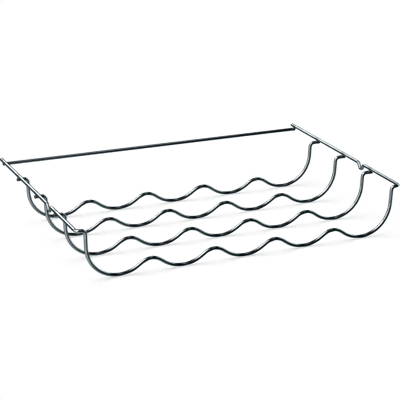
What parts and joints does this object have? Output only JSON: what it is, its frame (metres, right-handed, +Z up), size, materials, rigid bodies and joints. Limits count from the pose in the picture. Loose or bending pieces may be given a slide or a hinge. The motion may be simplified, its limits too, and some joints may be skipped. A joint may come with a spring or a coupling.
{
  "type": "wine rack",
  "caption": "Chromed wire bottle shelf: wavy cradle wires hung between two side rails with a dipped notch in each, and a straight rear crossbar.",
  "frame": {"origin": "bottom centre of the overall box, on the plane the shelf stands on", "axes": "+X to the right across the bottles, +Y to the back along the bottles, +Z up"},
  "size_m": [0.45, 0.2966, 0.0674],
  "materials": {
    "frame_wire": "bright chrome plate on drawn steel wire",
    "second_bottle_wire": "bright chrome plate on drawn steel wire",
    "third_bottle_wire": "bright chrome plate on drawn steel wire",
    "rear_bottle_wire": "bright chrome plate on drawn steel wire",
    "rear_crossbar": "bright chrome plate on drawn steel wire",
    "left_rail_welds": "chrome plate over a resistance weld, slightly dull",
    "right_rail_welds": "chrome plate over a resistance weld, slightly dull"
  },
  "bodies": {
    "root": {"frame_wire": "frame_wire", "second_bottle_wire": "second_bottle_wire", "third_bottle_wire": "third_bottle_wire", "rear_bottle_wire": "rear_bottle_wire", "rear_crossbar": "rear_crossbar", "left_rail_welds": "left_rail_welds", "right_rail_welds": "right_rail_welds"}
  },
  "joints": []
}
